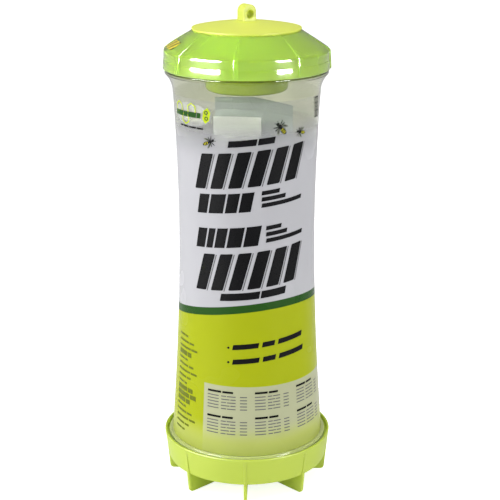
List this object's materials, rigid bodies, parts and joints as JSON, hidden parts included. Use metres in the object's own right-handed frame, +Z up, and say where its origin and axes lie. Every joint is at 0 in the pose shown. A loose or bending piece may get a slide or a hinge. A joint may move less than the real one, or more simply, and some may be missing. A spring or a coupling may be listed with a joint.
{
  "type": "wasp trap",
  "caption": "Hanging wasp trap: a clear waisted canister with a domed lid and rain cap on top and a finned entry base below, both screwed on.",
  "frame": {"origin": "on the canister's axis, at the level that the feet stand on", "axes": "+Z up along the axis, from the feet to the hanging eye; -Y is the front, where one foot points"},
  "size_m": [0.122, 0.122, 0.3456],
  "materials": {
    "lime_plastic": "gloss",
    "lime_translucent": "gloss",
    "clear_plastic": "gloss",
    "frosted_plastic": "satin",
    "printed_film": "gloss",
    "divider_plastic": "satin",
    "pouch_foil": "satin",
    "white_plastic": "satin",
    "lure_felt": "matte",
    "packet_paper": "matte",
    "lure_powder": "matte",
    "lure_liquid": "gloss",
    "gasket_rubber": "matte",
    "sticker_film": "gloss"
  },
  "bodies": {
    "base": {"base": "lime_plastic", "entry_cone": "lime_translucent"},
    "gasket": {"base_gasket": "gasket_rubber"},
    "canister": {"canister": "clear_plastic", "label_wrap": "printed_film", "chamber_divider": "divider_plastic", "foil_pouch": "pouch_foil", "cartridge_case_left": "white_plastic", "cartridge_case_right": "white_plastic", "lure_pad_left": "lure_felt", "lure_pad_right": "lure_felt", "powder_packet": "packet_paper", "powder_fill": "lure_powder", "attractant_vial": "frosted_plastic", "vial_liquid": "lure_liquid", "vial_cap": "white_plastic"},
    "funnel": {"entry_funnel": "lime_translucent"},
    "lid": {"lid": "lime_translucent", "lid_sticker": "sticker_film"},
    "rain_cap": {"rain_cap": "lime_plastic"}
  },
  "joints": [
    {"name": "canister_lift", "type": "slide", "parent": "base", "child": "gasket", "axis": [0, 0, 1], "range_m": [0, 0.08]},
    {"name": "canister_turn", "type": "hinge", "parent": "gasket", "child": "canister", "pos_m": [0, 0, 0.03], "axis": [0, 0, 1], "range_deg": [0, 1440]},
    {"name": "lid_lift", "type": "slide", "parent": "canister", "child": "funnel", "axis": [0, 0, 1], "range_m": [0, 0.032]},
    {"name": "lid_turn", "type": "hinge", "parent": "funnel", "child": "lid", "pos_m": [0, 0, 0.31], "axis": [0, 0, 1], "range_deg": [0, 1440]},
    {"name": "cap_lift", "type": "slide", "parent": "lid", "child": "rain_cap", "axis": [0, 0, 1], "range_m": [0, 0.01]}
  ],
  "couplings": [
    {"joint": "canister_lift", "follows": "canister_turn", "m_per_rad": 0.0031831},
    {"joint": "lid_lift", "follows": "lid_turn", "m_per_rad": 0.0012732}
  ]
}
